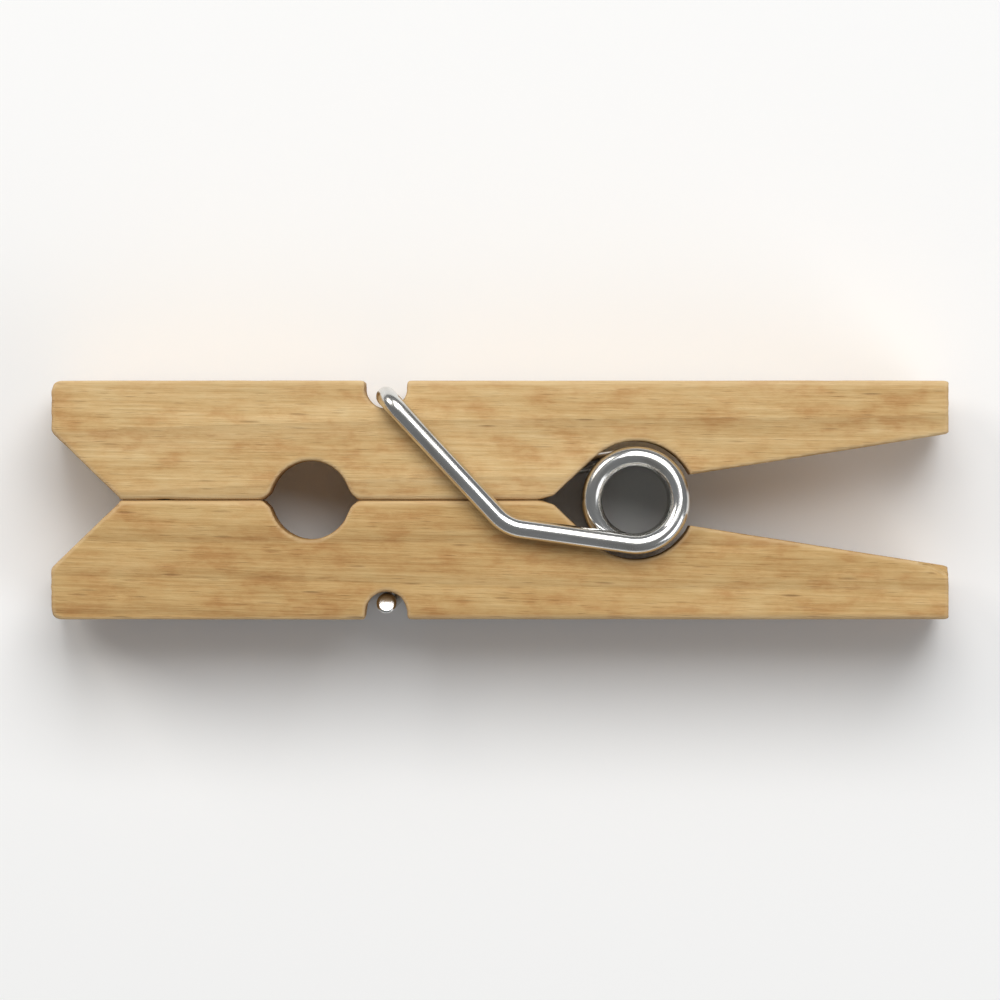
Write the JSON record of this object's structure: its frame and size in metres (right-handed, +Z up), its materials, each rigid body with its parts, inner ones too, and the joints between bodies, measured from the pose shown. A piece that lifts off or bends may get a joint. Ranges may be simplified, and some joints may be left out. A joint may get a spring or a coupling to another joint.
{
  "type": "clothespin",
  "caption": "Wooden spring clothespin: two halves with a notched mouth and tapered handles, pinched together by a coiled wire spring that is also their hinge.",
  "frame": {"origin": "under the middle of the pin, at the level of the surface that it lies on", "axes": "+X along the pin towards the jaws, +Y across the seam from the right half to the left half, +Z up along the coil of the spring"},
  "size_m": [0.045, 0.012, 0.0085],
  "materials": {
    "wood": "bare planed wood",
    "spring_wire": "bright drawn and plated steel wire"
  },
  "bodies": {
    "right_jaw": {"right_half": "wood", "spring": "spring_wire"},
    "left_jaw": {"left_half": "wood"}
  },
  "joints": [
    {"name": "jaw_hinge", "type": "hinge", "parent": "right_jaw", "child": "left_jaw", "pos_m": [-0.0068, 0, 0.00425], "axis": [0, 0, 1], "range_deg": [0, 23.5], "stiffness_Nm_per_rad": 0.1, "springref_deg": -0.57, "deforming": ["spring"]}
  ]
}
